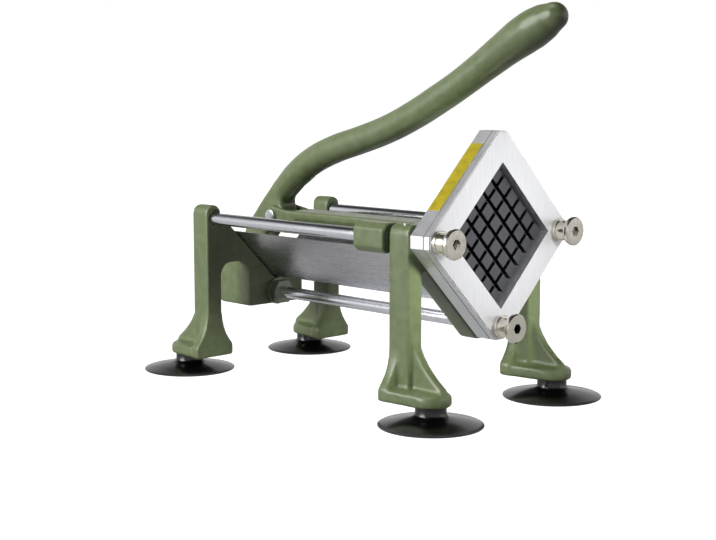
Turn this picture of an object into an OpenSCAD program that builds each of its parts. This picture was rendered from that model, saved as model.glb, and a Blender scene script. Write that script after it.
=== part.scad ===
// Lever french fry cutter on suction feet, fully forward (cut finished) at rest.
// Millimetres. +Z up, -Y is the blade end, +X is to the right seen from the blade end.
// Origin: on the table, under the middle of the overall length and width. Inside the
// modules Y is counted from the centre of the four cups, and placed() moves it to the origin.

/* [Cutting head] */
// Side of one cut cell, so the width of one fry
cell = 12.7; // [11.5:0.1:12.7]
// Height of the middle of the square blade opening above the table
head_z = 131; // [128:0.5:134]
// Half of the head frame's diagonal, before its corners are cut flat
head_diag = 81.5; // [80:0.5:84]
// Distance from the middle of the head to its flat-cut corners
head_flat = 77; // [75:0.5:79]
// Distance from the middle of the head to each rod
rod_reach = 67; // [66:0.5:68]
// Thickness of one blade strip
blade_t = 0.6; // [0.4:0.1:1]
// Depth of one blade strip along the push
blade_d = 3.6; // [3:0.1:3.6]

/* [Rods and trough] */
// Diameter of the three rods
rod_d = 10; // [9:0.5:10]
// Diameter of the threaded stud at each rod's front end
stud_d = 8; // [6:0.5:8]
// Sheet thickness of the trough
trough_t = 1.2; // [0.8:0.1:1.5]
// Height of the trough's top edges above the table
trough_top = 119; // [112:1:120]

/* [Brackets and feet] */
// Distance of a leg's middle from the centre plane
leg_x = 67.5; // [67:0.5:68]
// Width of a leg, seen from the front
leg_w = 15; // [14.5:0.5:16]
// Depth of a leg, seen from the side
leg_d = 20; // [18:0.5:20]
// Distance of the front leg's middle from the centre
front_leg_y = 115; // [115:0.5:115.5]
// Distance of the rear leg's middle from the centre
rear_leg_y = 117; // [117:0.5:117.5]
// Sideways distance of a suction cup from the centre plane
cup_x = 69; // [67:0.5:70]
// Lengthwise distance of a suction cup from the centre
cup_y = 142; // [140:0.5:144]
// Rim radius of a suction cup
cup_r = 38.3; // [34:0.1:42]
// Underside of the foot pads above the table
pad_z = 14; // [13:0.5:15]
// Thickness of the foot pads
pad_t = 9.5; // [8:0.5:10]
// How far a leg's heel flares out beyond each side of the leg
heel_out = 11.5; // [9:0.5:12]
// Radius of the round lobe over a suction cup
lobe_r = 15; // [14:0.5:16]

/* [Pusher and handle] */
// Gap between two pegs of the push block
peg_gap = 3.1; // [2.4:0.1:4]
// Length of the pegs
peg_len = 10.8; // [10.7:0.1:12]
// Running clearance of every sliding or turning fit, on the radius
run = 0.06; // [0.03:0.01:0.09]
// Radial play of the one open pivot, at the heel end of the links
play = 1.9; // [1.8:0.1:2.1]
// Largest radius of the grip
grip_r = 14.7; // [13.5:0.1:15]

/* [Thumb nuts] */
// Radius of the thumb nut's flange
nut_flange_r = 11; // [10:0.5:12]
// Radius of the thumb nut's barrel
nut_barrel_r = 7.7; // [6.5:0.1:8]

/* [Hidden] */
cells = 6;
open_side = cells * cell;
open_h = (open_side + 0.4) / sqrt(2);
plate_front = -147.5;
plate_back = -141.7;
spigot_back = -131;
blade_front = -138.9;
seat_front = -141.6;
seat_back = -128.6;
cradle_front = -128.4;
cradle_back = -110;
spigot_h = open_h + 7;
spigot_flat = open_h + 3.5;
v_in = open_h + 0.3;
v_out = v_in + trough_t * sqrt(2);
v_seat = v_out + 0.3;
v_bend = 4;
low_z = head_z - rod_reach;
pusher_side = open_side - 0.9;
pusher_h = pusher_side / sqrt(2);
peg_front = -141.6;
block_front = peg_front + peg_len;
block_back = block_front + 6;
// pivots of the linkage, each as [y, z]
pa = [97, head_z];
pb = [128, head_z - 55];
pc = [146, head_z - 40];
link_len = norm(pb - pc);
bolt_r = 3;
pin_r = 4;
heel_pin_r = 3.5;
web_y0 = rear_leg_y - leg_d / 2;
// centre line of the lever as [y, z, radius], from the fork to the grip's end
spine = [[96, 152, 11], [80.5, 165.3, 11.5], [60, 178, 11.8], [32, 189, 11.8], [2, 197.2, 11.5], [-29, 206.5, 11.4],
    [-57, 217.6, 11.5], [-83.5, 230.3, 11.6], [-106, 241.9, 11.4], [-126, 253.3, 11.9], [-147.5, 266, 12.9],
    [-163, 274.6, grip_r - 0.2], [-174, 280, grip_r], [-184, 284.6, grip_r - 1.7], [-192, 288, grip_r - 4.3]];
tip = spine[len(spine) - 1];
ball = 0.12; // by which a ball fills out each bend of the lever
middle_y = -(tip[0] - tip[2] - ball + cup_y + cup_r) / 2;
steel = "#c9cbcd";
silver = "#d9dbdc";
green = "#8a9b74";
black = "#1d1e20";
yellow = "#d6c83a";
eps = 0.01;
$fn = 64;

// ---- helpers ----

// Moves a piece from the cups' centre to the row's origin.
module placed() translate([0, middle_y, 0]) children();

// Cylinder along Y between two Y values, round an axis at x, z.
module ycyl(x, z, y0, y1, r, r2 = undef) {
    translate([x, y0, z]) rotate([-90, 0, 0]) cylinder(h = y1 - y0, r1 = r, r2 = is_undef(r2) ? r : r2);
}

// Cylinder along X between two X values, round an axis at [y, z].
module xcyl(p, x0, x1, r) {
    translate([x0, p[0], p[1]]) rotate([0, 90, 0]) cylinder(h = x1 - x0, r = r);
}

// Prism along Y of an outline drawn in X and Z.
module yprism(pts, y0, y1) {
    translate([0, y1, 0]) rotate([90, 0, 0]) linear_extrude(height = y1 - y0) polygon(pts);
}

// Prism along X of an outline drawn in Y and Z.
module xprism(pts, x0, x1) {
    translate([x0, 0, 0]) rotate([90, 0, 90]) linear_extrude(height = x1 - x0) polygon(pts);
}

// Square standing on its corner, round the middle of the head: half diagonal h, corners cut flat at c.
function diamond(h, c) = let (k = h - c) [
    [c, head_z - k], [c, head_z + k], [k, head_z + c], [-k, head_z + c],
    [-c, head_z + k], [-c, head_z - k], [-k, head_z - c], [k, head_z - c]];

// Sharp square standing on its corner.
function square_on_corner(h) = [[h, head_z], [0, head_z + h], [-h, head_z], [0, head_z - h]];

// Points of an arc, centre c, radius r, from angle a to angle b.
function arc(c, r, a, b, n = 8) = [for (i = [0:n]) let (t = a + (b - a) * i / n) [c[0] + r * cos(t), c[1] + r * sin(t)]];

// Hexagon outline with the given width across flats.
function hexagon(af) = [for (i = [0:5]) [af / sqrt(3) * cos(60 * i), af / sqrt(3) * sin(60 * i)]];

// The three rods as [x, z].
rods = [[-rod_reach, head_z], [rod_reach, head_z], [0, low_z]];

// ---- castings ----

// One foot of a bracket, drawn for the front left corner.
module foot(leg_y) {
    y_front = -leg_y - leg_d / 2;
    y_rear = -leg_y + leg_d / 2;
    half = leg_w / 2;
    pad_top = pad_z + pad_t;
    // straight leg with a round top
    yprism(concat([[half - leg_x, pad_z], [half - leg_x, head_z + 4]], arc([-leg_x, head_z + 4], half, 0, 180, 14),
        [[-half - leg_x, pad_z]]), y_front, y_rear);
    // inner half of the leg, flared to both sides down to the pad
    flare = [[0, 52], [0.8, 45], [2.4, 38.5], [5, 32.5], [8.3, 27.5], [heel_out, pad_top], [heel_out, pad_z]];
    yprism(concat([for (f = flare) [half + f[0] - leg_x, f[1]]],
        [for (i = [len(flare) - 1:-1:0]) [-half - flare[i][0] - leg_x, flare[i][1]]]), y_rear - 9, y_rear);
    // pad that tapers from the heel to the round lobe over the suction cup
    translate([0, 0, pad_z]) linear_extrude(height = pad_t)
        polygon([[-leg_x - half - heel_out, y_rear], [-leg_x + half + heel_out, y_rear], [-cup_x + lobe_r, -cup_y], [-cup_x - lobe_r, -cup_y]]);
    translate([-cup_x, -cup_y, pad_z]) cylinder(h = pad_t - 2, r = lobe_r);
    translate([-cup_x, -cup_y, pad_top - 2]) cylinder(h = 2, r1 = lobe_r, r2 = lobe_r - 2);
    // thin rib that runs down from the leg to the lobe
    xprism([[y_front + 1, 62], [y_front - 3, 55], [y_front - 7, 48], [y_front - 11.5, 41.5], [y_front - 17, 36],
        [y_front - 23, 31], [y_front - 28, 27.5], [y_front - 30.5, pad_top - eps], [y_front + 1, pad_top - eps]],
        -leg_x - 3.5, -leg_x + 3.5);
}

module cup_holes() {
    for (x = [-cup_x, cup_x]) translate([x, 0, pad_z - 1]) cylinder(h = 8, r = 3 + run);
}

module front_bracket() color(green) placed() difference() {
    union() {
        foot(front_leg_y);
        mirror([1, 0, 0]) foot(front_leg_y);
        // V cradle behind the head, flush with the head's outline
        yprism([[-leg_x - leg_w / 2 + 2, head_z + 3], [-leg_x - leg_w / 2 + 2, head_z - 8.5], [-3, head_z - 79], [3, head_z - 79],
            [leg_x + leg_w / 2 - 2, head_z - 8.5], [leg_x + leg_w / 2 - 2, head_z + 3], [v_seat + 3, head_z + 3],
            [v_seat, head_z], [0, head_z - v_seat], [-v_seat, head_z], [-v_seat - 3, head_z + 3]],
            cradle_front, cradle_back);
    }
    for (r = rods) ycyl(r[0], r[1], -150, -90, rod_d / 2 + run);
    for (s = [-1, 1]) translate([s * rod_reach, -front_leg_y, head_z]) cylinder(h = 20, r = 2.5);
    translate([0, -cup_y, 0]) cup_holes();
}

module rear_bracket() color(green) placed() difference() {
    union() {
        for (m = [0, 1]) mirror([m, 0, 0]) mirror([0, 1, 0]) foot(rear_leg_y);
        // web with the V notch that carries the trough
        yprism(concat([[-leg_x, head_z - 4], [-v_seat + 4, head_z - 4], [0, head_z - v_seat], [v_seat - 4, head_z - 4],
            [leg_x, head_z - 4]], [[leg_x, head_z - 48]],
            arc([leg_x - leg_w / 2 - 10, head_z - 48], 10, 0, 90, 5), arc([40, head_z - 48], 10, 90, 180, 5),
            [[30, head_z - 78], [-30, head_z - 78]],
            arc([-40, head_z - 48], 10, 0, 90, 5), arc([-leg_x + leg_w / 2 + 10, head_z - 48], 10, 90, 180, 5),
            [[-leg_x, head_z - 48]]), web_y0, web_y0 + 10);
        // housing behind the web: two cheeks and a floor
        for (m = [0, 1]) mirror([m, 0, 0])
            xprism(concat([[web_y0 + 9, head_z - 78], [pc[0] + 1, head_z - 78], [pc[0] + 12, head_z - 64]],
                arc(pc, 12, 0, 90, 8), [[web_y0 + 9, pc[1] + 12]]), -30, -20);
        translate([-25, web_y0 + 9, head_z - 78]) cube([50, pc[0] - web_y0 - 9, 4]);
        ycyl(0, low_z, web_y0, web_y0 + 11, 8.5);
    }
    for (s = [-1, 1]) ycyl(s * rod_reach, head_z, web_y0 - 5, rear_leg_y + leg_d / 2 - 1.5, rod_d / 2 + run);
    ycyl(0, low_z, web_y0 - 5, web_y0 + 13, rod_d / 2 + run);
    xcyl(pc, -40, 40, pin_r + 0.02);
    translate([0, cup_y, 0]) cup_holes();
}

module carriage() color(green) placed() difference() {
    union() {
        // slide blocks on the two upper rods
        for (m = [0, 1]) mirror([m, 0, 0])
            yprism([[-78, head_z - 7], [-74, head_z - 11], [-58, head_z - 11], [-54, head_z - 7], [-54, head_z + 5.5],
                [-62, head_z + 11], [-74, head_z + 11], [-78, head_z + 7]], -102, -71);
        // bridge over the trough
        yprism([[-56, head_z - 7], [-20, head_z - 10], [20, head_z - 10], [56, head_z - 7], [56, head_z + 5.5], [-56, head_z + 5.5]],
            -99, -74);
        // stem and backing plate of the push block
        yprism([[-14, head_z - 36], [14, head_z - 36], [14, head_z + 5.5], [-14, head_z + 5.5]], block_back + 6, -80);
        yprism([[-50 + 5.5, head_z + 5.5], [-50, head_z], [-6, head_z - 44], [6, head_z - 44], [50, head_z], [50 - 5.5, head_z + 5.5]],
            block_back + 0.05, block_back + 7);
        // gusset under the stem
        xprism([[-80, head_z - 10], [-98, head_z - 10], [-98, head_z - 36]], -4, 4);
        // tail beam and its forked end
        yprism([[-10, head_z - 7], [10, head_z - 7], [14, head_z], [14, head_z + 5.5], [-14, head_z + 5.5], [-14, head_z]], -75, pa[0] - 22);
        for (m = [0, 1]) mirror([m, 0, 0]) {
            xprism([[pa[0] - 30, head_z - 7], [pa[0], head_z - 8.5], [pa[0], head_z + 8.5], [pa[0] - 18, head_z + 5.5], [pa[0] - 30, head_z + 5.5]], -14, -10);
            xcyl(pa, -14, -10, 8.5);
        }
    }
    for (s = [-1, 1]) ycyl(s * rod_reach, head_z, -110, -60, rod_d / 2 + run);
    xcyl(pa, -20, 20, bolt_r + 0.02);
    // hollow underside of the tail beam
    translate([-6, -60, head_z - 8]) cube([12, pa[0] + 30, 8]);
    for (s = [-1, 1]) ycyl(s * 22, head_z - 8, block_back - 1, block_back + 8, 2.6);
}

// ---- rods, trough ----

module rod(x, z, y_back) {
    ycyl(x, z, cradle_front, y_back, rod_d / 2);
    ycyl(x, z, -158, cradle_front + eps, stud_d / 2);
    ycyl(x, z, -159, -158, stud_d / 2 - 1, stud_d / 2);
}

module guide_rod_left() color(steel) placed() rod(-rod_reach, head_z, rear_leg_y + leg_d / 2 - 2);
module guide_rod_right() color(steel) placed() rod(rod_reach, head_z, rear_leg_y + leg_d / 2 - 2);
module lower_rod() color(steel) placed() rod(0, low_z, web_y0 + 10);

module lower_rod_nut() color(steel) placed() difference() {
    translate([0, web_y0 - 0.05, low_z]) rotate([90, 0, 0]) union() {
        cylinder(h = 2, r = 11.5);
        linear_extrude(height = 10) polygon(hexagon(19));
    }
    ycyl(0, low_z, web_y0 - 15, web_y0 + 5, rod_d / 2 + 0.02);
}

module rod_set_screw(s) color(steel) placed() difference() {
    translate([s * rod_reach, -front_leg_y, head_z + rod_d / 2 + 0.3]) cylinder(h = 6.5, r = 2.45);
    translate([s * rod_reach, -front_leg_y, head_z + rod_d / 2 + 4.8]) linear_extrude(height = 4) polygon(hexagon(2.5));
}

module trough() color(steel) placed() {
    zi = head_z - v_in + v_bend * sqrt(2);
    drop = head_z - trough_top;
    yprism(concat([[-v_in + drop, trough_top]], arc([0, zi], v_bend, 225, 315, 8), [[v_in - drop, trough_top], [v_out - drop, trough_top]],
        arc([0, zi], v_bend + trough_t, 315, 225, 8), [[-v_out + drop, trough_top]]), cradle_front + 0.4, web_y0 + 8.5);
}

// ---- cutting head ----

module head_seat() color(silver) placed() difference() {
    union() {
        yprism(diamond(head_diag, head_flat), seat_front + 1, seat_back);
        yprism(diamond(head_diag - 1.2, head_flat - 1.2), seat_front, seat_front + 1 + eps);
    }
    yprism(diamond(spigot_h + 0.4, spigot_flat + 0.4), seat_front - 1, seat_back + 1);
    for (r = rods) ycyl(r[0], r[1], -150, -120, stud_d / 2 + 0.2);
}

module label_strip() color(yellow) placed()
    translate([0, 0, head_z]) rotate([0, -45, 0])
        translate([-27, seat_front + 1.3, head_diag / sqrt(2) + 0.02]) cube([65, 11, 0.3]);

module blade_slots(dir, y0) {
    for (i = [-2:2]) translate([0, 0, head_z]) rotate([0, dir * 45, 0])
        translate([-open_side / 2 - 3.05, y0 - 0.05, i * cell - blade_t / 2 - 0.05]) cube([open_side + 6.1, blade_d + 0.1, blade_t + 0.1]);
}

module cassette_frame() color(silver) placed() difference() {
    union() {
        yprism(diamond(head_diag, head_flat), plate_front + 0.8, plate_back);
        yprism(diamond(head_diag - 0.9, head_flat - 0.9), plate_front, plate_front + 0.8 + eps);
        yprism(diamond(spigot_h, spigot_flat), plate_back - eps, spigot_back);
    }
    yprism(square_on_corner(open_h), plate_front - 1, spigot_back + 1);
    for (r = rods) ycyl(r[0], r[1], -150, -135, stud_d / 2 + 0.2);
    blade_slots(1, blade_front);
    blade_slots(-1, blade_front + blade_d + 0.4);
}

module blade(dir, i, y0) color(steel) placed()
    translate([0, 0, head_z]) rotate([0, dir * 45, 0])
        translate([0, 0, i * cell - blade_t / 2]) linear_extrude(height = blade_t)
            polygon([[-open_side / 2 - 3, y0 + blade_d], [-open_side / 2 - 3, y0], [open_side / 2 + 3, y0], [open_side / 2 + 3, y0 + blade_d]]);

module thumb_nut(x, z) color(steel) placed() difference() {
    union() {
        ycyl(x, z, plate_front - 2.6, plate_front - 0.1, nut_barrel_r + 0.9);
        ycyl(x, z, -160, plate_front - 2, nut_barrel_r);
        ycyl(x, z, -161, -159, nut_flange_r, nut_flange_r - 1);
        ycyl(x, z, -162.5, -161 + eps, nut_flange_r);
        ycyl(x, z, -163.5, -162.5 + eps, nut_flange_r - 1, nut_flange_r);
    }
    ycyl(x, z, -160, plate_front + 1, stud_d / 2 + run);
    translate([x, -160 + eps, z]) rotate([90, 0, 0]) linear_extrude(height = 5) polygon(hexagon(7));
}

// ---- pusher ----

module push_block() color(black) placed() difference() {
    union() {
        yprism(diamond(pusher_h, pusher_h - 2.2), block_front, block_back);
        translate([0, 0, head_z]) rotate([0, 45, 0]) for (i = [0:5], j = [0:5])
            translate([(i - 2.5) * cell - (cell - peg_gap) / 2, peg_front, (j - 2.5) * cell - (cell - peg_gap) / 2])
                cube([cell - peg_gap, peg_len + eps, cell - peg_gap]);
    }
    for (s = [-1, 1]) ycyl(s * 22, head_z - 8, block_back - 5, block_back + 1, 2.1);
}

module push_screw(s) color(steel) placed() difference() {
    union() {
        ycyl(s * 22, head_z - 8, block_back - 4.5, block_back + 7.1, 2);
        ycyl(s * 22, head_z - 8, block_back + 7.05, block_back + 10.5, 4);
    }
    translate([s * 22, block_back + 13, head_z - 8]) rotate([90, 0, 0]) linear_extrude(height = 5) polygon(hexagon(3));
}

// ---- handle and links ----

// One tapered length of the lever with a ball that fills the bend at its start.
module spine_piece(a, b) {
    d = [b[0] - a[0], b[1] - a[1]];
    translate([0, a[0], a[1]]) {
        sphere(r = a[2] + ball);
        rotate([atan2(d[1], d[0]) - 90, 0, 0]) cylinder(h = norm(d), r1 = a[2], r2 = b[2]);
    }
}

module handle() color(green) placed() difference() {
    union() {
        for (i = [0:len(spine) - 2]) spine_piece(spine[i], spine[i + 1]);
        translate([0, tip[0], tip[1]]) sphere(r = tip[2] + ball);
        // tongue between the forks of the carriage, swept back to the heel
        xprism([[90, 133], [91, 148], [90, 160], [97, 161], [106.6, 153], [115.4, 144.2], [126, 132.5], [138, 119],
            [144.5, 105], [144, 92], [138, pb[1] + 3], [128, pb[1] + 2], [119, 86], [117.5, 98], [115, 108], [108, 116], [97, 120], [90, 123]], -9.4, 9.4);
        xcyl(pa, -9.4, 9.4, 10.5);
        xcyl(pb, -9.4, 9.4, 9.6);
    }
    xcyl(pa, -20, 20, bolt_r + run);
    xcyl(pb, -20, 20, heel_pin_r + 0.02);
}

module handle_bolt() color(steel) placed() {
    xcyl(pa, -14.1, 20.5, bolt_r);
    xcyl(pa, -16.4, -14.05, 5.4);
    xcyl(pa, -17.3, -16.39, 4.6);
}

module handle_bolt_nut() color(steel) placed() difference() {
    translate([14.05, pa[0], pa[1]]) rotate([0, 90, 0]) linear_extrude(height = 5) polygon(hexagon(10));
    xcyl(pa, 10, 30, bolt_r + 0.02);
}

module heel_pin() color(steel) placed() xcyl(pb, -16, 16, heel_pin_r);
module anchor_pin(s) color(steel) placed() xcyl(pc, s > 0 ? 9.9 : -29.8, s > 0 ? 29.8 : -9.9, pin_r);

module link(s) color(steel) placed() difference() {
    union() {
        xcyl(pb, s > 0 ? 10 : -14, s > 0 ? 14 : -10, heel_pin_r + play + 3);
        xcyl(pc, s > 0 ? 10 : -14, s > 0 ? 14 : -10, pin_r + 4.5);
        translate([s > 0 ? 10 : -14, pb[0], pb[1]]) rotate([atan2(pc[1] - pb[1], pc[0] - pb[0]), 0, 0])
            translate([0, 0, -6.5]) cube([4, link_len, 13]);
    }
    xcyl(pb, -20, 20, heel_pin_r + play);
    xcyl(pc, -20, 20, pin_r + run);
}

// ---- feet ----

module suction_cup(x, y) color(black) placed() translate([x, y, 0]) difference() {
    rotate_extrude() polygon([[0, 3.2], [20, 2.6], [33, 1], [36.8, 0], [cup_r, 0], [cup_r, 1], [36, 1.9], [29, 3.4], [22, 5],
        [14.5, 6.2], [12, 7.2], [11.4, 8.4], [11.4, pad_z - 0.02], [0, pad_z - 0.02]]);
    translate([0, 0, 5]) cylinder(h = 20, r = 3.05);
}

module cup_stud(x, y) color(steel) placed() translate([x, y, 5.05]) cylinder(h = pad_z + 1.1, r = 3);

front_bracket();
rear_bracket();
guide_rod_left();
guide_rod_right();
lower_rod();
lower_rod_nut();
rod_set_screw(-1);  // rod_set_screw_left
rod_set_screw(1);  // rod_set_screw_right
trough();
head_seat();
label_strip();
cassette_frame();
blade(-1, -2, blade_front + blade_d + 0.4);  // blade_rising_1
blade(-1, -1, blade_front + blade_d + 0.4);  // blade_rising_2
blade(-1, 0, blade_front + blade_d + 0.4);  // blade_rising_3
blade(-1, 1, blade_front + blade_d + 0.4);  // blade_rising_4
blade(-1, 2, blade_front + blade_d + 0.4);  // blade_rising_5
blade(1, -2, blade_front);  // blade_falling_1
blade(1, -1, blade_front);  // blade_falling_2
blade(1, 0, blade_front);  // blade_falling_3
blade(1, 1, blade_front);  // blade_falling_4
blade(1, 2, blade_front);  // blade_falling_5
thumb_nut(-rod_reach, head_z);  // thumb_nut_left
thumb_nut(rod_reach, head_z);  // thumb_nut_right
thumb_nut(0, low_z);  // thumb_nut_bottom
carriage();
push_block();
push_screw(-1);  // push_screw_left
push_screw(1);  // push_screw_right
handle();
handle_bolt();
handle_bolt_nut();
heel_pin();
link(-1);  // link_left
link(1);  // link_right
anchor_pin(-1);  // anchor_pin_left
anchor_pin(1);  // anchor_pin_right
suction_cup(-cup_x, -cup_y);  // suction_cup_front_left
suction_cup(cup_x, -cup_y);  // suction_cup_front_right
suction_cup(-cup_x, cup_y);  // suction_cup_rear_left
suction_cup(cup_x, cup_y);  // suction_cup_rear_right
cup_stud(-cup_x, -cup_y);  // cup_stud_front_left
cup_stud(cup_x, -cup_y);  // cup_stud_front_right
cup_stud(-cup_x, cup_y);  // cup_stud_rear_left
cup_stud(cup_x, cup_y);  // cup_stud_rear_right
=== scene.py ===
"""Looks of the lever french fry cutter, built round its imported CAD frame.

Every piece is in metres in the frame of the CAD model: +Z up, -Y the blade end,
+X to the right seen from the blade end, and the origin on the table under the
middle of the whole cutter.
"""

import logging
import math
from dataclasses import dataclass, field
from enum import Enum
from typing import Any

import bmesh
import bpy
from mathutils import Euler, Matrix, Vector


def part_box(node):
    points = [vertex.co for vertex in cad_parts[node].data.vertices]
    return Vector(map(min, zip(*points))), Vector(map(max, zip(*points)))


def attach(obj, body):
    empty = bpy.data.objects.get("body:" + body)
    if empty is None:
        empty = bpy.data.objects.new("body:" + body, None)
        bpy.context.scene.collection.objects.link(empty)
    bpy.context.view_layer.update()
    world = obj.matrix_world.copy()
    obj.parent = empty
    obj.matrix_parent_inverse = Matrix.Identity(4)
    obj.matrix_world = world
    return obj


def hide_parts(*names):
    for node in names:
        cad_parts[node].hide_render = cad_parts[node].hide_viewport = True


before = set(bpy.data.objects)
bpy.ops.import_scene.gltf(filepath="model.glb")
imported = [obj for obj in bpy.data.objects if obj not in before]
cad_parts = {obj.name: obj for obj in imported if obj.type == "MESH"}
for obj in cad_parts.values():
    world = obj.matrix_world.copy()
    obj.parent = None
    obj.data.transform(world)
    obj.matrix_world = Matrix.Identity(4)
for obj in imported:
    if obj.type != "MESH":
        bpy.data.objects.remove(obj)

log = logging.getLogger("fry_cutter")
MM = 0.001
MERGE = 0.004 * MM  # points of the CAD triangles that are nearer are one point
SLIVER = 0.002 * MM  # edges of the CAD triangles that are shorter are dropped
FLAT_DEG = 0.6  # faces that bend less are one flat face
CAST_SMOOTH_DEG = 80.0  # a casting has no edge sharper than this
FLATS_WEIGHT = 60  # how strongly a flat face keeps its own shading beside a rounding


class Body(Enum):
    """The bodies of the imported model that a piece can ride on."""

    BASE = "base"
    CARRIAGE = "carriage_slider"
    LEVER = "lever"
    LINKS = "links"
    NUT_LEFT = "nut_left"
    NUT_RIGHT = "nut_right"
    NUT_BOTTOM = "nut_bottom"


class Side(Enum):
    """The two sides of the cutter, as the sign of X."""

    LEFT = -1
    RIGHT = 1


# ---- small tools ----


def linear(hex_code: str) -> tuple[float, float, float, float]:
    """Turns an sRGB hex colour into the linear colour that a shader takes.

    Args:
        hex_code: A colour such as "#8a9b74".

    Returns:
        Red, green and blue in linear light, and an alpha of 1.
    """
    parts = [int(hex_code[i : i + 2], 16) / 255 for i in (1, 3, 5)]
    light = [
        c / 12.92 if c <= 0.04045 else ((c + 0.055) / 1.055) ** 2.4 for c in parts
    ]
    return (light[0], light[1], light[2], 1.0)


def put(
    tree: bpy.types.NodeTree,
    kind: str,
    inputs: dict[str | int, Any] | None = None,
    stops: list[tuple[float, str]] | None = None,
    **settings: Any,
) -> bpy.types.Node:
    """Adds one shader node with its settings and links.

    Args:
        tree: The node tree of the material.
        kind: The node's type name.
        inputs: Input name or number, and the value or the output socket for it.
        stops: Positions and hex colours, for a colour ramp.
        **settings: Attributes of the node.

    Returns:
        The new node.
    """
    made = tree.nodes.new(kind)
    for name, value in settings.items():
        setattr(made, name, value)
    for key, value in (inputs or {}).items():
        if isinstance(value, bpy.types.NodeSocket):
            tree.links.new(value, made.inputs[key])
        else:
            made.inputs[key].default_value = value
    if stops:
        ramp = made.color_ramp
        while len(ramp.elements) < len(stops):
            ramp.elements.new(0.5)
        for element, (at, colour) in zip(ramp.elements, stops, strict=True):
            element.position = at
            element.color = linear(colour)
    return made


def blank(name: str) -> tuple[bpy.types.Material, bpy.types.NodeTree]:
    """Makes an empty node material.

    Args:
        name: The material's name.

    Returns:
        The material and its node tree, with no nodes in it.
    """
    material = bpy.data.materials.new(name)
    material.use_nodes = True
    material.node_tree.nodes.clear()
    return material, material.node_tree


def merged_copy(node: str) -> bmesh.types.BMesh:
    """Copies a CAD node's loose triangles and joins them to one closed skin.

    Args:
        node: Name of the CAD node.

    Returns:
        A bmesh with doubles merged and slivers dropped.
    """
    bm = bmesh.new()
    bm.from_mesh(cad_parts[node].data)
    bmesh.ops.remove_doubles(bm, verts=bm.verts, dist=MERGE)
    bmesh.ops.dissolve_degenerate(bm, edges=bm.edges, dist=SLIVER)
    return bm


def finished(
    bm: bmesh.types.BMesh,
    name: str,
    body: Body,
    material: bpy.types.Material,
    replaces: tuple[str, ...] = (),
    smooth_below: float = 40.0,
    flat_faces: bool = False,
) -> bpy.types.Object:
    """Turns a bmesh into a piece that rides on its body.

    Args:
        bm: The finished shape, which is freed here.
        name: Name of the piece.
        body: The body that it rides on.
        material: Its finish.
        replaces: CAD nodes that the piece stands for.
        smooth_below: Edges under this angle in degrees are shaded smooth.
        flat_faces: Keeps large flat faces evenly lit beside rounded edges.

    Returns:
        The new object.
    """
    mesh = bpy.data.meshes.new(name)
    bm.to_mesh(mesh)
    bm.free()
    mesh.shade_smooth()
    mesh.set_sharp_from_angle(angle=math.radians(smooth_below))
    mesh.materials.append(material)
    piece = bpy.data.objects.new(name, mesh)
    bpy.context.scene.collection.objects.link(piece)
    if flat_faces:
        weighted = piece.modifiers.new("even_flats", "WEIGHTED_NORMAL")
        weighted.keep_sharp = True
        weighted.weight = FLATS_WEIGHT
    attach(piece, body.value)
    if replaces:
        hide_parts(*replaces)
    log.info("%s: %d faces", name, len(mesh.polygons))
    return piece


def dress(node: str, material: bpy.types.Material) -> None:
    """Gives a CAD node that stays in view its finish.

    Args:
        node: Name of the CAD node.
        material: The finish.
    """
    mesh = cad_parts[node].data
    mesh.materials.clear()
    mesh.materials.append(material)
    for face in mesh.polygons:
        face.material_index = 0
    log.info("%s: dressed", node)


def rounded_copy(
    node: str, radius: float, segments: int = 3, above: float = 28.0
) -> bmesh.types.BMesh:
    """Copies a CAD node and rounds its hard edges.

    Args:
        node: Name of the CAD node.
        radius: Width of the rounding in metres.
        segments: Steps across the rounding.
        above: Edges bent more than this angle in degrees are rounded.

    Returns:
        The rounded shape.
    """
    bm = merged_copy(node)
    bmesh.ops.dissolve_limit(
        bm, angle_limit=math.radians(FLAT_DEG), verts=bm.verts, edges=bm.edges
    )
    hard = [
        e
        for e in bm.edges
        if len(e.link_faces) == 2 and e.calc_face_angle(0.0) > math.radians(above)
    ]
    bmesh.ops.bevel(
        bm,
        geom=hard,
        offset=radius,
        offset_type="OFFSET",
        affect="EDGES",
        segments=segments,
        profile=0.5,
        material=-1,
        clamp_overlap=True,
    )
    return bm


def cast(bm: bmesh.types.BMesh, grain: float, passes: int) -> bmesh.types.BMesh:
    """Joins closed shapes to one sand casting, with every edge and corner rounded.

    Args:
        bm: The closed shapes, which are freed here.
        grain: Size of the remeshing grid in metres.
        passes: Number of smoothing passes, which set the rounding.

    Returns:
        The rounded casting.
    """
    mesh = bpy.data.meshes.new("casting_core")
    bm.to_mesh(mesh)
    bm.free()
    core = bpy.data.objects.new("casting_core", mesh)
    bpy.context.scene.collection.objects.link(core)
    grid = core.modifiers.new("grid", "REMESH")
    grid.mode = "VOXEL"
    grid.voxel_size = grain
    graph = bpy.context.evaluated_depsgraph_get()
    bm = bmesh.new()
    bm.from_mesh(core.evaluated_get(graph).to_mesh())
    core.evaluated_get(graph).to_mesh_clear()
    bpy.data.objects.remove(core)
    bpy.data.meshes.remove(mesh)
    for _ in range(passes):
        bmesh.ops.smooth_vert(
            bm,
            verts=bm.verts,
            factor=0.5,
            use_axis_x=True,
            use_axis_y=True,
            use_axis_z=True,
        )
    return bm


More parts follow.
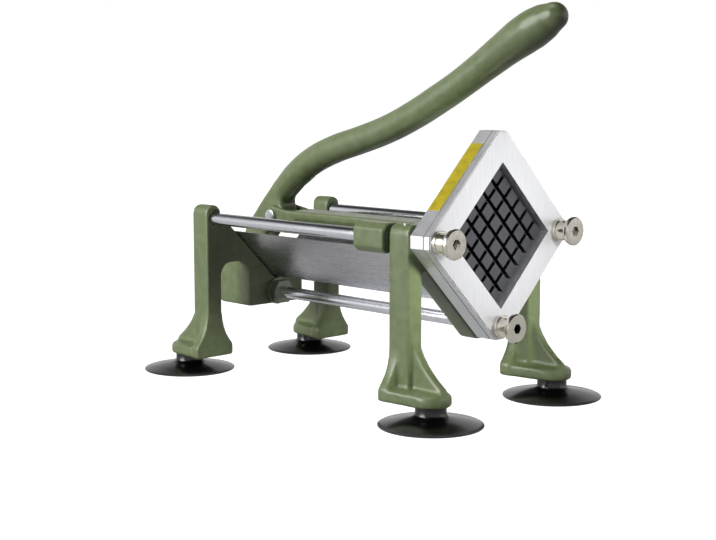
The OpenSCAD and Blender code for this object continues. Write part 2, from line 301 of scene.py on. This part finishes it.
def turned(
    profile: list[tuple[float, float]], centre: Vector, steps: int
) -> bmesh.types.BMesh:
    """Turns a closed profile round an upright axis, as on a lathe.

    Args:
        profile: Radius and height of each point, in metres. The first and the last
            point lie on the axis.
        centre: Where the axis starts.
        steps: Number of steps round the axis.

    Returns:
        The turned shape, closed and with its faces outwards.
    """
    bm = bmesh.new()
    points = [bm.verts.new((r, 0.0, up)) for r, up in profile]
    after = points[1:] + points[:1]
    edges = [bm.edges.new((a, b)) for a, b in zip(points, after, strict=True)]
    bmesh.ops.spin(
        bm,
        geom=[*points, *edges],
        cent=(0, 0, 0),
        axis=(0, 0, 1),
        angle=math.tau,
        steps=steps,
        use_merge=True,
    )
    bmesh.ops.remove_doubles(bm, verts=bm.verts, dist=SLIVER)
    bmesh.ops.dissolve_degenerate(bm, edges=bm.edges, dist=SLIVER / 2)
    bmesh.ops.translate(bm, verts=bm.verts, vec=centre)
    bmesh.ops.recalc_face_normals(bm, faces=bm.faces)
    return bm


# ---- finishes ----


@dataclass(frozen=True)
class PowderCoat:
    """Sage green polyester powder coat on sand-cast aluminium.

    The coat flows out to a satin skin with faint orange peel, and the casting's
    sand texture shows through it as a slow waviness.
    """

    name: str = "sage_powder_coat_on_cast_aluminium"
    body: str = "#67734e"
    deep: str = "#606c48"
    pale: str = "#6e7a55"
    roughness: float = 0.35
    smoother: float = 0.05  # how far the roughness drops in places
    rougher: float = 0.07  # how far it rises
    ior: float = 1.5
    coat: float = 0.12
    coat_roughness: float = 0.18
    peel_mm: float = 1.1  # drawn coarser than the real 0.6 mm, or it would not show
    peel_depth_mm: float = 0.05
    wave_mm: float = 7.0
    wave_depth_mm: float = 0.1

    def material(self) -> bpy.types.Material:
        """Builds the node material."""
        material, tree = blank(self.name)
        at = put(tree, "ShaderNodeTexCoord").outputs["Object"]
        peel = put(
            tree,
            "ShaderNodeTexNoise",
            {
                "Vector": at,
                "Scale": 1 / (self.peel_mm * MM),
                "Detail": 2.0,
                "Roughness": 0.45,
            },
        )
        wave = put(
            tree,
            "ShaderNodeTexNoise",
            {
                "Vector": at,
                "Scale": 1 / (self.wave_mm * MM),
                "Detail": 3.0,
                "Roughness": 0.5,
            },
        )
        tint = put(
            tree,
            "ShaderNodeValToRGB",
            {"Fac": wave.outputs["Fac"]},
            stops=[(0.3, self.deep), (0.5, self.body), (0.72, self.pale)],
        )
        gloss = put(
            tree,
            "ShaderNodeMapRange",
            {
                "Value": wave.outputs["Fac"],
                "From Min": 0.3,
                "From Max": 0.7,
                "To Min": self.roughness - self.smoother,
                "To Max": self.roughness + self.rougher,
            },
        )
        slow = put(
            tree,
            "ShaderNodeBump",
            {
                "Height": wave.outputs["Fac"],
                "Strength": 0.25,
                "Distance": self.wave_depth_mm * MM,
            },
        )
        fine = put(
            tree,
            "ShaderNodeBump",
            {
                "Height": peel.outputs["Fac"],
                "Strength": 0.28,
                "Distance": self.peel_depth_mm * MM,
                "Normal": slow.outputs["Normal"],
            },
        )
        shader = put(
            tree,
            "ShaderNodeBsdfPrincipled",
            {
                "Base Color": tint.outputs["Color"],
                "Roughness": gloss.outputs["Result"],
                "IOR": self.ior,
                "Coat Weight": self.coat,
                "Coat Roughness": self.coat_roughness,
                "Normal": fine.outputs["Normal"],
            },
        )
        put(tree, "ShaderNodeOutputMaterial", {"Surface": shader.outputs["BSDF"]})
        return material


@dataclass(frozen=True)
class Metal:
    """A bare or plated metal, with the marks its making leaves.

    The marks are noise drawn out along the direction of brushing, turning or
    grinding, so they catch the light as fine parallel lines.
    """

    name: str
    face: str
    shade: str
    roughness: float
    spread: float  # how far the roughness varies over the surface
    marks_mm: tuple[float, float, float]  # size of the marks along X, Y and Z
    depth_mm: float
    metallic: float = 1.0  # less where a cloudy oxide skin scatters the light
    cloud_mm: float = 22.0

    def material(self) -> bpy.types.Material:
        """Builds the node material."""
        material, tree = blank(self.name)
        at = put(tree, "ShaderNodeTexCoord").outputs["Object"]
        stretch = put(
            tree,
            "ShaderNodeMapping",
            {"Vector": at, "Scale": tuple(1 / (m * MM) for m in self.marks_mm)},
        )
        marks = put(
            tree,
            "ShaderNodeTexNoise",
            {
                "Vector": stretch.outputs["Vector"],
                "Scale": 1.0,
                "Detail": 4.0,
                "Roughness": 0.6,
            },
        )
        cloud = put(
            tree,
            "ShaderNodeTexNoise",
            {"Vector": at, "Scale": 1 / (self.cloud_mm * MM), "Detail": 2.0},
        )
        both = put(
            tree,
            "ShaderNodeMath",
            {0: marks.outputs["Fac"], 1: cloud.outputs["Fac"]},
            operation="ADD",
        )
        tint = put(
            tree,
            "ShaderNodeValToRGB",
            {"Fac": marks.outputs["Fac"]},
            stops=[(0.3, self.shade), (0.7, self.face)],
        )
        gloss = put(
            tree,
            "ShaderNodeMapRange",
            {
                "Value": both.outputs["Value"],
                "From Min": 0.7,
                "From Max": 1.3,
                "To Min": self.roughness - self.spread,
                "To Max": self.roughness + self.spread,
            },
        )
        bump = put(
            tree,
            "ShaderNodeBump",
            {
                "Height": marks.outputs["Fac"],
                "Strength": 0.3,
                "Distance": self.depth_mm * MM,
            },
        )
        shader = put(
            tree,
            "ShaderNodeBsdfPrincipled",
            {
                "Base Color": tint.outputs["Color"],
                "Metallic": self.metallic,
                "Roughness": gloss.outputs["Result"],
                "Normal": bump.outputs["Normal"],
            },
        )
        put(tree, "ShaderNodeOutputMaterial", {"Surface": shader.outputs["BSDF"]})
        return material


@dataclass(frozen=True)
class MouldedBlack:
    """Black nylon, moulded and lightly spark-textured.

    It is painted near-black behind the pegs' fronts, as painted shade in the gaps
    between the pegs; the fronts keep the nylon's own dark grey.
    """

    name: str = "black_moulded_nylon"
    face: str = "#232426"
    worn: str = "#313235"
    # the near-black painted in as shade between the pegs
    deep: str = "#09090a"
    front_mm: float = -130.5  # the pegs' fronts
    gap_shade_mm: tuple[float, float] = (0.3, 1.0)  # where the painted shade between the pegs deepens, behind their fronts
    roughness: float = 0.42
    ior: float = 1.53
    grain_mm: float = 0.9
    grain_depth_mm: float = 0.04

    def material(self) -> bpy.types.Material:
        """Builds the node material."""
        material, tree = blank(self.name)
        at = put(tree, "ShaderNodeTexCoord").outputs["Object"]
        grain = put(
            tree,
            "ShaderNodeTexNoise",
            {"Vector": at, "Scale": 1 / (self.grain_mm * MM), "Detail": 3.0},
        )
        tint = put(
            tree,
            "ShaderNodeValToRGB",
            {"Fac": grain.outputs["Fac"]},
            stops=[(0.35, self.face), (0.65, self.worn)],
        )
        place = put(tree, "ShaderNodeSeparateXYZ", {"Vector": at})
        # painted shade: the colour goes to near-black from 0.3 to 1 mm behind the pegs'
        # fronts
        depth = put(
            tree,
            "ShaderNodeMapRange",
            {
                "Value": place.outputs["Y"],
                "From Min": (self.front_mm + self.gap_shade_mm[0]) * MM,
                "From Max": (self.front_mm + self.gap_shade_mm[1]) * MM,
            },
        )
        colour = put(
            tree,
            "ShaderNodeMix",
            {
                "Factor": depth.outputs["Result"],
                6: tint.outputs["Color"],  # the sockets of the two colours, A and B
                7: linear(self.deep),
            },
            data_type="RGBA",
        )
        bump = put(
            tree,
            "ShaderNodeBump",
            {
                "Height": grain.outputs["Fac"],
                "Strength": 0.3,
                "Distance": self.grain_depth_mm * MM,
            },
        )
        shader = put(
            tree,
            "ShaderNodeBsdfPrincipled",
            {
                "Base Color": colour.outputs[2],
                "Roughness": self.roughness,
                "IOR": self.ior,
                "Normal": bump.outputs["Normal"],
            },
        )
        put(tree, "ShaderNodeOutputMaterial", {"Surface": shader.outputs["BSDF"]})
        return material


@dataclass(frozen=True)
class CupRubber:
    """Black moulded rubber, painted a smoky grey towards the rim: partly the rubber's
    own tone where it tapers, partly a painted sheen along the rim.
    """

    name: str = "black_suction_cup_rubber"
    thick: str = "#070708"
    medium: str = "#121214"
    # the rim's colour, partly the rubber's own grey and partly a painted sheen
    rim_grey_and_sheen: str = "#3c3c40"
    shift_mm: float = 11.11  # from the row's origin to the middle of the four cups
    cup_mm: tuple[float, float] = (69.0, 142.0)  # from there to a cup's own centre
    grey_from_mm: float = 29.0
    rim_mm: float = 38.3
    roughness: float = 0.18
    ior: float = 1.52
    skin_mm: float = 3.0
    skin_depth_mm: float = 0.1

    def material(self) -> bpy.types.Material:
        """Builds the node material, with one pattern that serves all four cups."""
        material, tree = blank(self.name)
        at = put(tree, "ShaderNodeTexCoord").outputs["Object"]
        centred = put(
            tree,
            "ShaderNodeVectorMath",
            {0: at, 1: (0, self.shift_mm * MM, 0)},
            operation="SUBTRACT",
        )
        folded = put(
            tree,
            "ShaderNodeVectorMath",
            {0: centred.outputs["Vector"]},
            operation="ABSOLUTE",
        )
        across, along = self.cup_mm
        offset = put(
            tree,
            "ShaderNodeVectorMath",
            {0: folded.outputs["Vector"], 1: (across * MM, along * MM, 0)},
            operation="SUBTRACT",
        )
        level = put(
            tree,
            "ShaderNodeVectorMath",
            {0: offset.outputs["Vector"], 1: (1, 1, 0)},
            operation="MULTIPLY",
        )
        out = put(
            tree,
            "ShaderNodeVectorMath",
            {0: level.outputs["Vector"]},
            operation="LENGTH",
        )
        # how far out towards the rim, for the grey that is partly painted sheen
        share = put(
            tree,
            "ShaderNodeMapRange",
            {
                "Value": out.outputs["Value"],
                "From Min": self.grey_from_mm * MM,
                "From Max": self.rim_mm * MM,
            },
        )
        tint = put(
            tree,
            "ShaderNodeValToRGB",
            {"Fac": share.outputs["Result"]},
            stops=[(0.0, self.thick), (0.5, self.medium), (1.0, self.rim_grey_and_sheen)],
        )
        skin = put(
            tree,
            "ShaderNodeTexNoise",
            {"Vector": at, "Scale": 1 / (self.skin_mm * MM), "Detail": 2.0},
        )
        bump = put(
            tree,
            "ShaderNodeBump",
            {
                "Height": skin.outputs["Fac"],
                "Strength": 0.12,
                "Distance": self.skin_depth_mm * MM,
            },
        )
        shader = put(
            tree,
            "ShaderNodeBsdfPrincipled",
            {
                "Base Color": tint.outputs["Color"],
                "Roughness": self.roughness,
                "IOR": self.ior,
                "Normal": bump.outputs["Normal"],
            },
        )
        put(tree, "ShaderNodeOutputMaterial", {"Surface": shader.outputs["BSDF"]})
        return material


@dataclass(frozen=True)
class PlainFilm:
    """Blank yellow polyester film, glossy, with slight unevenness from its adhesive."""

    name: str = "blank_yellow_film"
    face: str = "#b8a82c"
    deep: str = "#a69724"
    roughness: float = 0.3
    ior: float = 1.5
    patch_mm: float = 6.0
    patch_depth_mm: float = 0.05

    def material(self) -> bpy.types.Material:
        """Builds the node material."""
        material, tree = blank(self.name)
        at = put(tree, "ShaderNodeTexCoord").outputs["Object"]
        patch = put(
            tree,
            "ShaderNodeTexNoise",
            {"Vector": at, "Scale": 1 / (self.patch_mm * MM), "Detail": 3.0},
        )
        tint = put(
            tree,
            "ShaderNodeValToRGB",
            {"Fac": patch.outputs["Fac"]},
            stops=[(0.35, self.deep), (0.62, self.face)],
        )
        bump = put(
            tree,
            "ShaderNodeBump",
            {
                "Height": patch.outputs["Fac"],
                "Strength": 0.2,
                "Distance": self.patch_depth_mm * MM,
            },
        )
        shader = put(
            tree,
            "ShaderNodeBsdfPrincipled",
            {
                "Base Color": tint.outputs["Color"],
                "Roughness": self.roughness,
                "IOR": self.ior,
                "Normal": bump.outputs["Normal"],
            },
        )
        put(tree, "ShaderNodeOutputMaterial", {"Surface": shader.outputs["BSDF"]})
        return material


def finish_field(
    finish: PowderCoat | Metal | MouldedBlack | CupRubber | PlainFilm,
) -> Any:
    """Makes a dataclass field that builds a finish when its set is built."""
    return field(default_factory=finish.material)


@dataclass
class Finishes:
    """Every finish of the cutter, built once and shared by its pieces."""

    paint: bpy.types.Material = finish_field(PowderCoat())
    # Centreless-ground and bright-plated bar: fine rings round it, near mirror.
    rod: bpy.types.Material = finish_field(
        Metal(
            "bright_plated_ground_bar",
            face="#e4e5ea",
            shade="#d2d4da",
            roughness=0.16,
            spread=0.04,
            marks_mm=(6.0, 0.8, 6.0),
            depth_mm=0.01,
        )
    )
    # Turned nuts under nickel, a little warm against the rods.
    nut: bpy.types.Material = finish_field(
        Metal(
            "nickel_plated_turned_nut",
            face="#f0ece2",
            shade="#e0dacb",
            roughness=0.2,
            spread=0.04,
            marks_mm=(4.0, 0.6, 4.0),
            depth_mm=0.01,
        )
    )
    # Belt-linished cast aluminium: soft lines and a near-white satin glow.
    head: bpy.types.Material = finish_field(
        Metal(
            "linished_aluminium",
            face="#e2e2e4",
            shade="#d4d5d8",
            roughness=0.36,
            spread=0.06,
            marks_mm=(0.7, 9.0, 16.0),
            depth_mm=0.03,
            metallic=0.75,
        )
    )
    # Stainless sheet brushed along its length: long fine lines, soft reflections.
    sheet: bpy.types.Material = finish_field(
        Metal(
            "brushed_stainless_sheet",
            face="#cdcdd1",
            shade="#bbbbbf",
            roughness=0.28,
            spread=0.06,
            marks_mm=(0.5, 45.0, 0.5),
            depth_mm=0.02,
        )
    )
    # Ground blade strip with the grinding across its width.
    blade: bpy.types.Material = finish_field(
        Metal(
            "ground_blade_strip",
            face="#c9cbce",
            shade="#b4b6ba",
            roughness=0.26,
            spread=0.05,
            marks_mm=(0.6, 5.0, 0.6),
            depth_mm=0.01,
        )
    )
    # Zinc-plated screws, pins and nuts with a dull bluish bloom.
    fixing: bpy.types.Material = finish_field(
        Metal(
            "zinc_plated_fixing",
            face="#cfd2d4",
            shade="#b9bdc0",
            roughness=0.3,
            spread=0.07,
            marks_mm=(1.2, 1.2, 1.2),
            depth_mm=0.02,
        )
    )
    # A dull steel nut, darker and greener grey than the other fixings.
    locknut: bpy.types.Material = finish_field(
        Metal(
            "dull_greenish_steel_nut",
            face="#7b8074",
            shade="#666b60",
            roughness=0.42,
            spread=0.08,
            marks_mm=(1.0, 1.0, 1.0),
            depth_mm=0.03,
        )
    )
    polymer: bpy.types.Material = finish_field(MouldedBlack())
    rubber: bpy.types.Material = finish_field(CupRubber())
    film: bpy.types.Material = finish_field(PlainFilm())


# ---- sub-assemblies ----


@dataclass
class Brackets:
    """The castings that stand on the suction cups and hold rods, head and trough."""

    finishes: Finishes
    grain: float = 1.15 * MM
    passes: int = 7

    def build(self) -> None:
        """Casts both brackets with rounded edges."""
        for node in ("front_bracket", "rear_bracket"):
            bm = cast(merged_copy(node), self.grain, self.passes)
            finished(
                bm,
                f"{node}_casting",
                Body.BASE,
                self.finishes.paint,
                (node,),
                smooth_below=CAST_SMOOTH_DEG,
            )


@dataclass
class RodsAndTrough:
    """Three ground rods with their fixings, and the folded sheet trough."""

    finishes: Finishes
    sheet_edge: float = 0.35 * MM
    fold_deg: float = 50.0  # the sheet's folds bend less, so only its cut edges round
    nut_edge: float = 0.5 * MM

    def build(self) -> None:
        """Dresses the rods and builds the trough with its soft sheet edges."""
        for node in ("guide_rod_left", "guide_rod_right", "lower_rod"):
            dress(node, self.finishes.rod)
        dress("rod_set_screw_left", self.finishes.fixing)
        dress("rod_set_screw_right", self.finishes.fixing)
        finished(
            rounded_copy("lower_rod_nut", self.nut_edge, 2),
            "lower_rod_locknut",
            Body.BASE,
            self.finishes.locknut,
            ("lower_rod_nut",),
            flat_faces=True,
        )
        finished(
            rounded_copy("trough", self.sheet_edge, 2, self.fold_deg),
            "folded_trough",
            Body.BASE,
            self.finishes.sheet,
            ("trough",),
            flat_faces=True,
        )


@dataclass
class CuttingHead:
    """Seat frame, blade cassette with its ten strips, and the blank strip of film."""

    finishes: Finishes
    edge: float = 0.6 * MM
    hard_deg: float = 40.0

    def build(self) -> None:
        """Builds the two frames and dresses the blades."""
        for node in ("head_seat", "cassette_frame"):
            finished(
                rounded_copy(node, self.edge, above=self.hard_deg),
                f"{node}_linished",
                Body.BASE,
                self.finishes.head,
                (node,),
                flat_faces=True,
            )
        for way in ("rising", "falling"):
            for i in range(1, 6):
                dress(f"blade_{way}_{i}", self.finishes.blade)
        dress("label_strip", self.finishes.film)


@dataclass
class ThumbNuts:
    """The three flanged nuts that clamp the cassette on the rod ends."""

    finishes: Finishes
    edge: float = 0.5 * MM
    hard_deg: float = 35.0

    def build(self) -> None:
        """Builds the nuts with rounded rims."""
        for name, body in (
            ("left", Body.NUT_LEFT),
            ("right", Body.NUT_RIGHT),
            ("bottom", Body.NUT_BOTTOM),
        ):
            finished(
                rounded_copy(f"thumb_nut_{name}", self.edge, above=self.hard_deg),
                f"thumb_nut_{name}_turned",
                body,
                self.finishes.nut,
                (f"thumb_nut_{name}",),
                flat_faces=True,
            )


@dataclass
class Pusher:
    """The sliding carriage with the pegged block that drives the potato through."""

    finishes: Finishes
    grain: float = 1.0 * MM
    passes: int = 6
    peg_edge: float = 0.7 * MM
    peg_hard_deg: float = 40.0
    bolt_edge: float = 1.0 * MM
    nut_edge: float = 0.6 * MM

    def build(self) -> None:
        """Casts the carriage and builds the block and its fixings."""
        finished(
            cast(merged_copy("carriage"), self.grain, self.passes),
            "carriage_casting",
            Body.CARRIAGE,
            self.finishes.paint,
            ("carriage",),
            smooth_below=CAST_SMOOTH_DEG,
        )
        finished(
            rounded_copy("push_block", self.peg_edge, above=self.peg_hard_deg),
            "pegged_push_block",
            Body.CARRIAGE,
            self.finishes.polymer,
            ("push_block",),
            flat_faces=True,
        )
        for node in ("push_screw_left", "push_screw_right"):
            dress(node, self.finishes.fixing)
        for node, edge in (
            ("handle_bolt", self.bolt_edge),
            ("handle_bolt_nut", self.nut_edge),
        ):
            finished(
                rounded_copy(node, edge),
                f"{node}_plated",
                Body.CARRIAGE,
                self.finishes.fixing,
                (node,),
                flat_faces=True,
            )


@dataclass
class Lever:
    """The long curved handle, cast in one with the tongue that turns in the fork."""

    finishes: Finishes
    grain: float = 1.2 * MM
    passes: int = 14
    # Distance to the rear, height and radius along the grip's middle line in
    # millimetres, from the tongue to the tip.
    line_mm: tuple[tuple[float, float, float], ...] = (
        (107.11, 152.0, 11.0), (91.61, 165.3, 11.5), (71.11, 178.0, 11.8),
        (43.11, 189.0, 11.8), (13.11, 197.2, 11.5), (-17.89, 206.5, 11.4),
        (-45.89, 217.6, 11.5), (-72.39, 230.3, 11.6), (-94.89, 241.9, 11.5),
        (-114.89, 253.3, 11.9), (-136.39, 266.0, 13.0), (-151.89, 274.6, 14.3),
        (-162.89, 280.0, 14.5), (-172.89, 284.6, 13.2), (-180.89, 288.0, 10.4),
    )
    cut_mm: tuple[float, float] = (80.0, 172.5)  # where the grip leaves the tongue
    facets: int = 8  # steps of the bar's round section, per quarter
    line_steps: int = 10  # steps between two points of the middle line
    ball_steps: tuple[int, int] = (40, 24)
    weld: float = 0.01 * MM  # points of the bar that are nearer are one point

    def grip(self) -> bmesh.types.BMesh:
        """Draws the grip as one smooth round bar that swells to a ball at its tip."""
        curve = bpy.data.curves.new("grip_line", "CURVE")
        curve.dimensions = "3D"
        # The section is 1 mm in radius, so a point's own radius is in millimetres.
        curve.bevel_depth, curve.bevel_resolution = MM, self.facets
        curve.use_fill_caps = True
        curve.resolution_u = self.line_steps
        line = curve.splines.new("BEZIER")
        line.bezier_points.add(len(self.line_mm) - 1)
        for point, (y, z, radius) in zip(line.bezier_points, self.line_mm, strict=True):
            point.co = (0, y * MM, z * MM)
            point.radius = radius
            point.handle_left_type = point.handle_right_type = "AUTO"
        bar = bpy.data.objects.new("grip_line", curve)
        bpy.context.scene.collection.objects.link(bar)
        graph = bpy.context.evaluated_depsgraph_get()
        bm = bmesh.new()
        bm.from_mesh(bar.evaluated_get(graph).to_mesh())
        bar.evaluated_get(graph).to_mesh_clear()
        bpy.data.objects.remove(bar)
        bpy.data.curves.remove(curve)
        bmesh.ops.remove_doubles(bm, verts=bm.verts, dist=self.weld)
        y, z, radius = self.line_mm[-1]
        bmesh.ops.create_uvsphere(
            bm,
            u_segments=self.ball_steps[0],
            v_segments=self.ball_steps[1],
            radius=radius * MM,
            matrix=Matrix.Translation((0, y * MM, z * MM)),
        )
        bmesh.ops.recalc_face_normals(bm, faces=bm.faces)
        return bm

    def tongue(self) -> bmesh.types.BMesh:
        """Copies the CAD handle and keeps its tongue, closed where it is cut."""
        bm = merged_copy("handle")
        (y0, z0, _), (y1, z1, _) = self.line_mm[1:3]
        bmesh.ops.bisect_plane(
            bm,
            geom=[*bm.verts, *bm.edges, *bm.faces],
            plane_co=(0, self.cut_mm[0] * MM, self.cut_mm[1] * MM),
            plane_no=(0, y1 - y0, z1 - z0),
            clear_outer=True,
        )
        bmesh.ops.holes_fill(bm, edges=[e for e in bm.edges if e.is_boundary])
        return bm

    def build(self) -> None:
        """Casts the handle and dresses its heel pin."""
        bm = self.grip()
        end = self.tongue()
        part = bpy.data.meshes.new("tongue")
        end.to_mesh(part)
        end.free()
        bm.from_mesh(part)
        bpy.data.meshes.remove(part)
        finished(
            cast(bm, self.grain, self.passes),
            "lever_casting",
            Body.LEVER,
            self.finishes.paint,
            ("handle",),
            smooth_below=CAST_SMOOTH_DEG,
        )
        dress("heel_pin", self.finishes.fixing)


@dataclass
class Linkage:
    """Two flat links and the stub pins that anchor them in the rear housing."""

    finishes: Finishes
    edge: float = 0.4 * MM
    hard_deg: float = 40.0

    def build(self) -> None:
        """Builds the stamped links and dresses the pins."""
        for side in Side:
            name = side.name.lower()
            finished(
                rounded_copy(f"link_{name}", self.edge, 2, self.hard_deg),
                f"link_{name}_stamped",
                Body.LINKS,
                self.finishes.blade,
                (f"link_{name}",),
                flat_faces=True,
            )
            dress(f"anchor_pin_{name}", self.finishes.fixing)


@dataclass
class SuctionFeet:
    """Four rubber cups, each moulded round a steel stud."""

    finishes: Finishes
    steps: int = 72
    smooth_deg: float = 50.0
    # Radius and height of the cup's outline in millimetres, from hollow to neck.
    outline_mm: tuple[tuple[float, float], ...] = (
        (0.0, 3.2), (10.0, 3.0), (20.0, 2.6), (27.0, 1.8), (33.0, 1.0),
        (36.8, 0.02), (38.0, 0.02), (38.28, 0.35), (38.25, 0.9), (37.6, 1.25),
        (36.0, 1.7), (33.0, 2.35), (29.0, 3.3), (25.0, 4.25), (21.0, 5.1),
        (17.5, 5.75), (14.8, 6.3), (13.0, 6.9), (11.9, 7.8), (11.45, 8.9),
        (11.4, 13.8), (11.2, 13.96), (0.0, 13.96),
    )

    def build(self) -> None:
        """Turns the four cups."""
        for name in ("front_left", "front_right", "rear_left", "rear_right"):
            low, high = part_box(f"suction_cup_{name}")
            centre = (Vector(low) + Vector(high)) / 2
            finished(
                turned(
                    [(r * MM, z * MM) for r, z in self.outline_mm],
                    Vector((centre.x, centre.y, 0)),
                    self.steps,
                ),
                f"suction_cup_{name}_rubber",
                Body.BASE,
                self.finishes.rubber,
                (f"suction_cup_{name}",),
                smooth_below=self.smooth_deg,
            )
            dress(f"cup_stud_{name}", self.finishes.fixing)


# ---- studio ----


@dataclass(frozen=True)
class Lamp:
    """A soft square light that faces the cutter."""

    name: str
    at: tuple[float, float, float]  # in metres
    size: float  # its side in metres
    power: float  # in watts
    spread_deg: float = 180.0
    lights_matt: bool = True
    lights_gloss: bool = True
    aim: tuple[float, float, float] = (0.0, 0.0, 0.1)

    def build(self) -> None:
        """Adds the light, which the camera itself doesn't see."""
        data = bpy.data.lights.new(self.name, "AREA")
        data.shape, data.size, data.energy = "SQUARE", self.size, self.power
        data.spread = math.radians(self.spread_deg)
        lamp = bpy.data.objects.new(self.name, data)
        lamp.location = self.at
        way = Vector(self.aim) - Vector(self.at)
        lamp.rotation_euler = way.to_track_quat("-Z", "Y").to_euler()
        lamp.visible_camera = False
        lamp.visible_diffuse = self.lights_matt
        lamp.visible_glossy = self.lights_gloss
        bpy.context.scene.collection.objects.link(lamp)


@dataclass
class Studio:
    """A white sweep, four large soft lights, a small low one and the photo's camera."""

    position_mm: tuple[float, float, float] = (-770.54, -786.91, 237.5)
    azimuth: float = -43.824
    elevation: float = 7.472
    focal_px: float = 1375.8
    frame_px: tuple[int, int] = (716, 540)
    sensor_mm: float = 36.0
    clip: tuple[float, float] = (0.05, 30.0)
    floor_size: float = 12.0  # from its middle to its edge, in metres
    floor_tooth: float = 8.0  # clouds of its tint, per metre
    floor_roughness: float = 0.8
    floor_glow: float = 0.97
    floor_mirrored: float = 0.24  # the same glow as the object's gloss shows it
    ambient: float = 0.065
    walls: float = 0.95  # the white wall behind as the object's gloss shows it
    lamps: tuple[Lamp, ...] = (
        Lamp("key_left", (-2.1, 0.75, 0.95), 1.7, 70),
        Lamp(
            "front_low",
            (0.0, -0.46, 0.17),
            0.08,
            0.24,
            spread_deg=46,
            lights_gloss=False,
        ),
        Lamp("top_soft", (-0.3, 0.2, 2.2), 1.2, 11),
        Lamp("card_right", (1.3, -1.5, 0.3), 1.6, 5.5, lights_matt=False),
        Lamp("fill_back", (1.7, 1.3, 0.7), 1.4, 16, lights_gloss=False),
    )

    def camera(self) -> None:
        """Places the camera. Its lens comes from the focal length in pixels."""
        data = bpy.data.cameras.new("photo_camera")
        data.sensor_width = self.sensor_mm
        data.lens = self.focal_px * self.sensor_mm / self.frame_px[0]
        data.clip_start, data.clip_end = self.clip
        data.dof.use_dof = False
        camera = bpy.data.objects.new("photo_camera", data)
        camera.location = [v * MM for v in self.position_mm]
        tilt = math.pi / 2 - math.radians(self.elevation)
        camera.rotation_euler = Euler((tilt, 0, math.radians(self.azimuth)), "XYZ")
        bpy.context.scene.collection.objects.link(camera)
        bpy.context.scene.camera = camera

    def floor(self) -> None:
        """Lays the paper sweep, which glows evenly white to the camera alone.

        In the cutter's gloss it is dimmer, as paper that the room lights is.
        """
        bm = bmesh.new()
        bmesh.ops.create_grid(bm, x_segments=1, y_segments=1, size=self.floor_size)
        mesh = bpy.data.meshes.new("floor")
        bm.to_mesh(mesh)
        bm.free()
        material, tree = blank("white_paper_sweep")
        at = put(tree, "ShaderNodeTexCoord").outputs["Object"]
        tooth = put(
            tree,
            "ShaderNodeTexNoise",
            {"Vector": at, "Scale": self.floor_tooth, "Detail": 2.0},
        )
        tint = put(
            tree,
            "ShaderNodeValToRGB",
            {"Fac": tooth.outputs["Fac"]},
            stops=[(0.3, "#959595"), (0.7, "#9b9b9b")],
        )
        path = put(tree, "ShaderNodeLightPath")
        glow = put(
            tree,
            "ShaderNodeMapRange",
            {
                "Value": path.outputs["Is Camera Ray"],
                "To Min": self.floor_mirrored,
                "To Max": self.floor_glow,
            },
        )
        shader = put(
            tree,
            "ShaderNodeBsdfPrincipled",
            {
                "Base Color": tint.outputs["Color"],
                "Roughness": self.floor_roughness,
                "Emission Color": linear("#ffffff"),
                "Emission Strength": glow.outputs["Result"],
            },
        )
        put(tree, "ShaderNodeOutputMaterial", {"Surface": shader.outputs["BSDF"]})
        mesh.materials.append(material)
        floor = bpy.data.objects.new("floor", mesh)
        floor.visible_diffuse = False
        bpy.context.scene.collection.objects.link(floor)

    def surroundings(self) -> None:
        """Makes a white backdrop to look at, and a dimmer one to light the cutter.

        The gloss sees a white wall that ends in the dark of the room above it.
        """
        world = bpy.data.worlds.new("studio_white")
        world.use_nodes = True
        tree = world.node_tree
        tree.nodes.clear()
        white = linear("#ffffff")
        seen = put(tree, "ShaderNodeBackground", {"Color": white, "Strength": 1.0})
        felt = put(
            tree, "ShaderNodeBackground", {"Color": white, "Strength": self.ambient}
        )
        way = put(tree, "ShaderNodeTexCoord").outputs["Generated"]
        height = put(tree, "ShaderNodeSeparateXYZ", {"Vector": way})
        fade = put(
            tree,
            "ShaderNodeValToRGB",
            {"Fac": height.outputs["Z"]},
            stops=[
                (0.0, "#ffffff"),
                (0.16, "#e4e4e4"),
                (0.42, "#d2d2d2"),
                (0.64, "#3c3c3c"),
            ],
        )
        mirrored = put(
            tree,
            "ShaderNodeBackground",
            {"Color": fade.outputs["Color"], "Strength": self.walls},
        )
        path = put(tree, "ShaderNodeLightPath")
        lit = put(
            tree,
            "ShaderNodeMixShader",
            {
                0: path.outputs["Is Glossy Ray"],
                1: felt.outputs["Background"],
                2: mirrored.outputs["Background"],
            },
        )
        both = put(
            tree,
            "ShaderNodeMixShader",
            {
                0: path.outputs["Is Camera Ray"],
                1: lit.outputs["Shader"],
                2: seen.outputs["Background"],
            },
        )
        put(tree, "ShaderNodeOutputWorld", {"Surface": both.outputs["Shader"]})
        bpy.context.scene.world = world

    def build(self) -> None:
        """Builds floor, surroundings, lights and camera."""
        bpy.context.scene.view_settings.view_transform = "Standard"
        self.floor()
        self.surroundings()
        for lamp in self.lamps:
            lamp.build()
        self.camera()


def main() -> None:
    """Builds the cutter sub-assembly by sub-assembly."""
    logging.basicConfig(level=logging.INFO, format="%(name)s %(message)s")
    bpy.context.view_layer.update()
    Studio().build()
    finishes = Finishes()
    for assembly in (
        Brackets,
        RodsAndTrough,
        CuttingHead,
        ThumbNuts,
        Pusher,
        Lever,
        Linkage,
        SuctionFeet,
    ):
        log.info("building %s", assembly.__name__)
        assembly(finishes).build()


if __name__ == "__main__":
    main()
